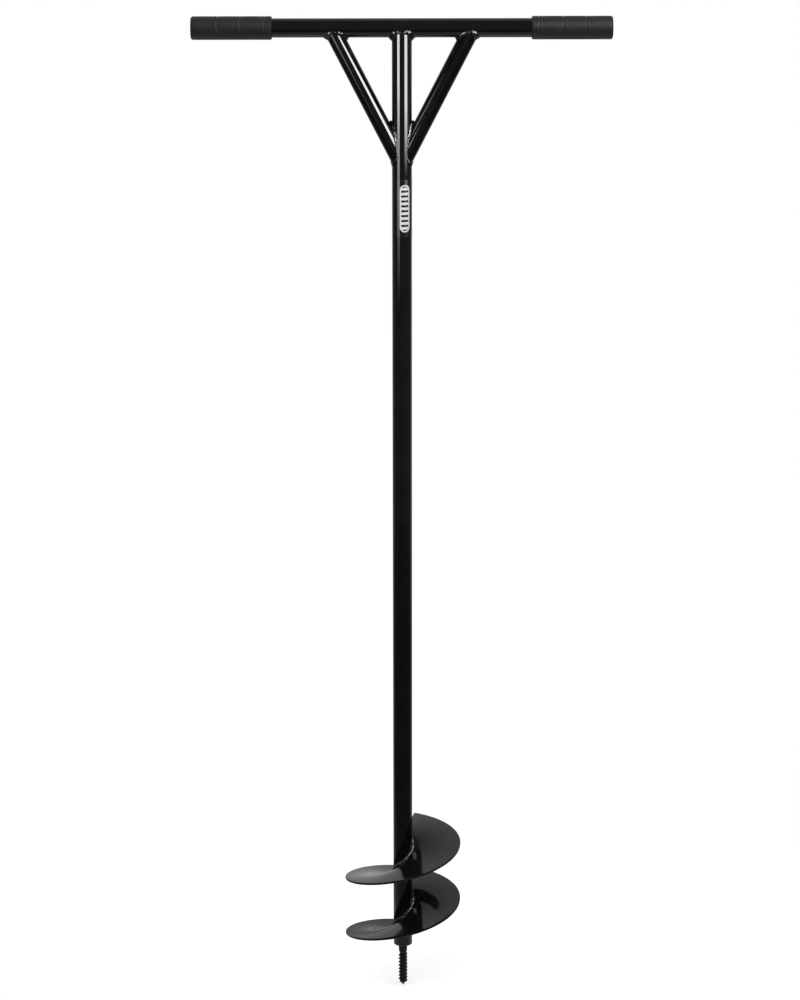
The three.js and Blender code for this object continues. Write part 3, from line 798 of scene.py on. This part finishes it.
TUBE_BLACK = ((0.0018, 0.0021, 0.002), (0.0034, 0.0038, 0.0036))
WELD_BLACK = ((0.0016, 0.0018, 0.0016), (0.0034, 0.0036, 0.0032))
BLADE_BLACK = ((0.0028, 0.0032, 0.003), (0.005, 0.0054, 0.005))
SHAFT_PAINT = gloss_paint("shaft_paint", *TUBE_BLACK, 0.055, 0.01 * MM, 300)
HANDLE_PAINT = gloss_paint("handle_paint", *TUBE_BLACK, 0.055, 0.007 * MM, 300)
WELD_PAINT = gloss_paint("weld_paint", *WELD_BLACK, 0.06, 0.06 * MM, 420)
# The blades share one paint. The lower blade's copy has weaker gloss: a painted shade that keeps the lower
# blade darker than the upper one.
UPPER_BLADE_PAINT = gloss_paint("upper_blade_paint", *BLADE_BLACK, 0.09, 0.004 * MM, 200, specular=0.45)
LOWER_BLADE_SHADED_PAINT = gloss_paint("lower_blade_shaded_paint", *BLADE_BLACK, 0.07, 0.004 * MM, 200, specular=0.38)
POINT_PAINT = forged_paint("point_paint")
GRIP_RUBBER = rubber("grip_rubber")
LABEL_FILM = printed_film("label_film")


# The auger's pieces

dress("shaft_tube", "shaft_paint", shaft_points(), SHAFT_PAINT, loop_rows=True)
dress("crossbar_tube", "handle_paint", crossbar_points(), HANDLE_PAINT, loop_rows=True)
dress("shaft_crossbar_weld", "weld_paint", saddle_bead(SHAFT, BAR, 1, even_legs(BAR_WELD), CONCAVE, 11),
      WELD_PAINT, loop_rows=True)
for word, side in (("left", -1), ("right", 1)):
    tube = brace(side)
    skin = dress(word + "_brace_tube", "handle_paint", coped_tube(tube, SHAFT, BAR), HANDLE_PAINT,
                 loop_rows=True)
    if side > 0:
        BRACE_GLINT_LIT.objects.link(skin)
    dress(word + "_brace_crossbar_weld", "weld_paint",
          saddle_bead(tube, BAR, 1, even_legs(BRACE_WELD), CONCAVE, 20 + side), WELD_PAINT, loop_rows=True)
    dress(word + "_brace_shaft_weld", "weld_paint",
          saddle_bead(tube, SHAFT, -1, crotch_legs(side), CONVEX, 30 + side), WELD_PAINT, loop_rows=True)
    dress(word + "_grip", "grip_rubber", grip_points(side), GRIP_RUBBER, caps=True)

gap_turn = JOINT_GAP / 2 / FLIGHT_RADIUS
# The lower blade gets the copy of the paint with the painted shade.
for word, low, high, paint, seed in (
    ("upper", FLIGHT_JOINT + gap_turn, FLIGHT_TOP, UPPER_BLADE_PAINT, 61),
    ("lower", FLIGHT_FOOT, FLIGHT_JOINT - gap_turn, LOWER_BLADE_SHADED_PAINT, 62),
):
    dress(word + "_flight", "blade_paint", flight_points(low, high), paint, caps=True)
    dress(word + "_flight_weld", "weld_paint", flight_weld_points(low, high, seed), WELD_PAINT, caps=True)
dress("flight_butt_weld", "weld_paint", butt_weld_points(), WELD_PAINT, caps=True)

dress("pilot_screw", "point_paint", screw_points(), POINT_PAINT, caps=True)
dress("pilot_screw_weld", "point_paint", screw_weld_points(), POINT_PAINT, loop_rows=True)
dress("shaft_label", "label_film", label_points(), LABEL_FILM, caps=True)

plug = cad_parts["point_plug"]
plug.data.materials.clear()
plug.data.materials.append(POINT_PAINT)


# Studio

def seen_rays(tree):
    """1 for the rays that look at the background: from the camera, from gloss and through glass."""
    path = tree.nodes.new("ShaderNodeLightPath").outputs
    rays = calculate(tree, "MAXIMUM", path["Is Camera Ray"], path["Is Glossy Ray"])
    return path, calculate(tree, "MAXIMUM", rays, path["Is Transmission Ray"])


PLAIN_LIGHT = 0.5  # the world's share of the light, where 1 shows a colour as it is written
FRONT = 0.19  # how bright the room behind the camera is, next to the white backdrop
LOW_FRONT = 0.075  # how bright it is near the ground
LOW_BACK = 0.63  # how bright gloss shows the backdrop low behind the auger
HIGH_BACK = 0.58  # how bright gloss shows it high up
LEFT_BACK = 0.8  # the share of the low backdrop's brightness to the left of the auger
BELOW = 0.45  # how bright gloss shows the ground under the auger
# The directions between which one brightness turns into the next
LOW_FRONT_RISE = (-0.34, -0.285)
LOW_BACK_REACH = (0.1, 1.0)
LEFT_BACK_REACH = (-0.11, 0.0)
HIGH_BACK_REACH = (0.05, 0.4)
HIGH_RISE = (0.3, 0.75)
BELOW_FALL = (-0.64, -0.84)


def build_world():
    """Plain even light, and for gloss a room with a pale backdrop behind the auger."""
    world = bpy.data.worlds.new("studio")
    bpy.context.scene.world = world
    world.use_nodes = True
    tree = world.node_tree
    output = tree.nodes["World Output"]
    plain = tree.nodes["Background"]
    plain.inputs["Color"].default_value = (1, 1, 1, 1)
    plain.inputs["Strength"].default_value = PLAIN_LIGHT
    path, seen = seen_rays(tree)
    direction = tree.nodes.new("ShaderNodeTexCoord").outputs["Generated"]
    x, y, z = node_of(tree, "ShaderNodeSeparateXYZ", {0: direction}).outputs
    front = spread(tree, z, *LOW_FRONT_RISE, LOW_FRONT, FRONT)
    low_back = spread(tree, y, *LOW_BACK_REACH, front, LOW_BACK)
    low_back = calculate(tree, "MULTIPLY", low_back, spread(tree, x, *LEFT_BACK_REACH, LEFT_BACK, 1))
    high_back = spread(tree, y, *HIGH_BACK_REACH, front, HIGH_BACK)
    high = spread(tree, z, *HIGH_RISE, 0, 1)
    behind = calculate(tree, "ADD", calculate(tree, "MULTIPLY", high_back, high),
                       calculate(tree, "MULTIPLY", low_back, calculate(tree, "SUBTRACT", 1.0, high)))
    below = spread(tree, z, *BELOW_FALL, 0, BELOW)
    studio = calculate(tree, "MAXIMUM", calculate(tree, "MAXIMUM", behind, below), path["Is Camera Ray"])
    shown = node_of(tree, "ShaderNodeBackground", {"Color": (1, 1, 1, 1), "Strength": studio})
    mixed = node_of(tree, "ShaderNodeMixShader", {0: seen, 1: plain.outputs[0], 2: shown.outputs[0]})
    tree.links.new(mixed.outputs[0], output.inputs["Surface"])


def stage_sheet(name, corners):
    """A flat sheet of the studio, with the nodes of its own empty material and their output."""
    mesh = bpy.data.meshes.new(name)
    mesh.from_pydata(corners, [], [(0, 1, 2, 3)])
    sheet = bpy.data.objects.new(name, mesh)
    bpy.context.scene.collection.objects.link(sheet)
    material = bpy.data.materials.new(name)
    material.use_nodes = True
    tree = material.node_tree
    tree.nodes.remove(tree.nodes["Principled BSDF"])
    mesh.materials.append(material)
    return sheet, tree, tree.nodes["Material Output"].inputs["Surface"]


def height_on(tree):
    """The height over the ground of a point on an upright sheet."""
    place = tree.nodes.new("ShaderNodeTexCoord").outputs["Object"]
    return node_of(tree, "ShaderNodeSeparateXYZ", {0: place}).outputs["Z"]


def show_only_in_gloss(sheet):
    sheet.visible_camera = False
    sheet.visible_diffuse = False
    sheet.visible_shadow = False


FLOOR_GREY = 0.62
FLOOR_GLOW = 0.6  # what the floor shows over its own light, so that only shadow is below white
FLOOR_OUT_OF_GLOSS = 0.4  # how much of the floor gloss doesn't show
FLOOR_SOLID = 0.17  # from its middle, where it starts to fade
FLOOR_REACH = 0.8
FLOOR_FADE = 3.0  # the power that it fades with
FLOOR_BACK = 0.15  # how far behind the auger its middle lies


def build_floor():
    """A pale floor that shows white, keeps the auger's shadow and fades out round its middle."""
    quarters = ((-1, -1), (1, -1), (1, 1), (-1, 1))
    corners = [(side * FLOOR_REACH, end * FLOOR_REACH, 0) for side, end in quarters]
    floor, tree, surface = stage_sheet("floor", corners)
    floor.location.y = FLOOR_BACK
    matte = node_of(tree, "ShaderNodeBsdfDiffuse", {"Color": (FLOOR_GREY, FLOOR_GREY, FLOOR_GREY, 1)})
    path, seen = seen_rays(tree)
    glow = node_of(tree, "ShaderNodeEmission", {"Strength": calculate(tree, "MULTIPLY", seen, FLOOR_GLOW)})
    both = node_of(tree, "ShaderNodeAddShader", {0: matte.outputs[0], 1: glow.outputs[0]})
    place = tree.nodes.new("ShaderNodeTexCoord").outputs["Object"]
    reach = node_of(tree, "ShaderNodeVectorMath", {0: place}, operation="LENGTH").outputs["Value"]
    fade = spread(tree, reach, FLOOR_SOLID, FLOOR_REACH, 1, 0, "LINEAR")
    solid = calculate(tree, "POWER", fade, FLOOR_FADE)
    hidden = calculate(tree, "MULTIPLY", path["Is Glossy Ray"], FLOOR_OUT_OF_GLOSS)
    solid = calculate(tree, "MULTIPLY", solid, calculate(tree, "SUBTRACT", 1.0, hidden))
    clear = node_of(tree, "ShaderNodeBsdfTransparent")
    faded = node_of(tree, "ShaderNodeMixShader", {0: solid, 1: clear.outputs[0], 2: both.outputs[0]})
    tree.links.new(faded.outputs[0], surface)


def aim(thing, target):
    thing.rotation_euler = (Vector(target) - thing.location).to_track_quat("-Z", "Y").to_euler()


LAMP_ANGLE = math.radians(50)
LAMP_TARGET = (0, 0, 0.6)


def soft_lamp(name, place, light):
    """A far, wide lamp. light is how bright it makes a white card that faces it."""
    data = bpy.data.lights.new(name, "SUN")
    data.angle = LAMP_ANGLE
    data.energy = light * math.pi
    lamp = bpy.data.objects.new(name, data)
    bpy.context.scene.collection.objects.link(lamp)
    lamp.location = place
    aim(lamp, LAMP_TARGET)
    lamp.visible_glossy = False


SOFTBOX_DISTANCE = 1.2  # from the shaft's axis
TAPER_RIGHT = 0.9  # the share of a softbox's taper that its right edge takes
WHITE = (1, 1, 1)
GREENISH = (0.96, 1, 0.9)
# Name, pieces that show it, degrees from the front towards +X, width, bottom, top, how wide the top is,
# colour, and levels: the heights between which one fades in, its strength and its power
SOFTBOXES = (
    ("left_softbox", LOW_SOFTBOX_LIT, -39.9, 0.585, 0.6, 1.25, 1, GREENISH,
     ((0.6, 0.89, 7, 1.7), (0.92, 1.03, 13.5, 1))),
    ("right_softbox", LOW_SOFTBOX_LIT, 47.3, 0.733, 0.87, 1.6, 0.86, WHITE,
     ((0.87, 0.99, 20, 1), (1.1, 1.35, 7, 1))),
    ("left_high_softbox", HIGH_SOFTBOX_LIT, -41.8, 0.8, 1.5, 2.4, 1, WHITE, ((1.5, 1.8, 0.5, 1),)),
    ("right_high_softbox", HIGH_SOFTBOX_LIT, 43.9, 0.8, 1.7, 2.5, 1, WHITE, ((1.7, 1.8, 10.5, 1),)),
    ("brace_glint", BRACE_GLINT_LIT, -62.5, 0.56, 1.5, 1.565, 1, WHITE, ((1.49, 1.5, 4.5, 1),)),
)


def softbox(name, lit, azimuth, width, bottom, top, taper, colour, levels):
    """A bright panel that only gloss shows, on the pieces in lit."""
    turn = math.radians(azimuth)
    inset = width * (1 - taper)
    corners = [(-width / 2, 0, bottom), (width / 2, 0, bottom),
               (width / 2 - TAPER_RIGHT * inset, 0, top), (-width / 2 + (1 - TAPER_RIGHT) * inset, 0, top)]
    panel, tree, surface = stage_sheet(name, corners)
    panel.location = (SOFTBOX_DISTANCE * math.sin(turn), -SOFTBOX_DISTANCE * math.cos(turn), 0)
    panel.rotation_euler = (0, 0, turn)
    height = height_on(tree)
    level = 0.0
    for low, high, strength, power in levels:
        rise = calculate(tree, "POWER", spread(tree, height, low, high, 0, 1, "LINEAR"), power)
        level = calculate(tree, "ADD", calculate(tree, "MULTIPLY", rise, strength), level)
    glow = node_of(tree, "ShaderNodeEmission", {"Color": (*colour, 1), "Strength": level})
    tree.links.new(glow.outputs[0], surface)
    show_only_in_gloss(panel)
    panel.light_linking.receiver_collection = lit


# A dark card that only gloss shows puts a painted shade into the lower blade's reflection.
CARD_BACK = 0.16  # from the shaft's axis
CARD_SIDES = (-0.25, 0.05)
CARD_TOP = (0.085, 0.11)  # the heights between which it fades out
CARD_SHADE = 0.5  # how much of what lies behind it the card hides


def painted_shade_card():
    """A see-through dark card behind the lower blade, which only gloss shows: a painted shade that darkens
    the lower blade's reflection.
    """
    left, right = CARD_SIDES
    top = CARD_TOP[1]
    corners = [(left, 0, 0), (right, 0, 0), (right, 0, top), (left, 0, top)]
    card, tree, surface = stage_sheet("painted_shade_card", corners)
    card.location.y = CARD_BACK
    shade = spread(tree, height_on(tree), *CARD_TOP, CARD_SHADE, 0)
    clear = node_of(tree, "ShaderNodeBsdfTransparent")
    black = node_of(tree, "ShaderNodeBsdfDiffuse", {"Color": (0, 0, 0, 1)})
    shaded = node_of(tree, "ShaderNodeMixShader", {0: shade, 1: clear.outputs[0], 2: black.outputs[0]})
    tree.links.new(shaded.outputs[0], surface)
    show_only_in_gloss(card)
    card.visible_transmission = False


PHOTO_HEIGHT = 1000
CAMERA_FOCAL = 3268  # in the photograph's pixels
CAMERA_SENSOR = 36
CAMERA_SIDE = -1.55 * MM
CAMERA_DISTANCE = 4
CAMERA_OVER_BAR = 462 * MM
CAMERA_TILT = math.radians(14.81)
CAMERA_ROLL = math.radians(0.08)


def build_camera():
    """The photograph's camera, fitted to the auger's edges in its 800 x 1000 pixels."""
    data = bpy.data.cameras.new("camera")
    data.sensor_width = CAMERA_SENSOR
    data.lens = CAMERA_FOCAL / PHOTO_HEIGHT * data.sensor_width
    camera = bpy.data.objects.new("camera", data)
    bpy.context.scene.collection.objects.link(camera)
    camera.location = (CAMERA_SIDE, -CAMERA_DISTANCE, BAR_HEIGHT + CAMERA_OVER_BAR)
    camera.rotation_euler = (math.pi / 2 - CAMERA_TILT, CAMERA_ROLL, 0)
    bpy.context.scene.camera = camera


bpy.context.scene.view_settings.view_transform = "Standard"
build_world()
build_floor()
soft_lamp("key_lamp", (-1.9, -2.3, 3.6), 0.45)
soft_lamp("fill_lamp", (2.3, -1.8, 2.6), 0.3)
for box in SOFTBOXES:
    softbox(*box)
painted_shade_card()
build_camera()
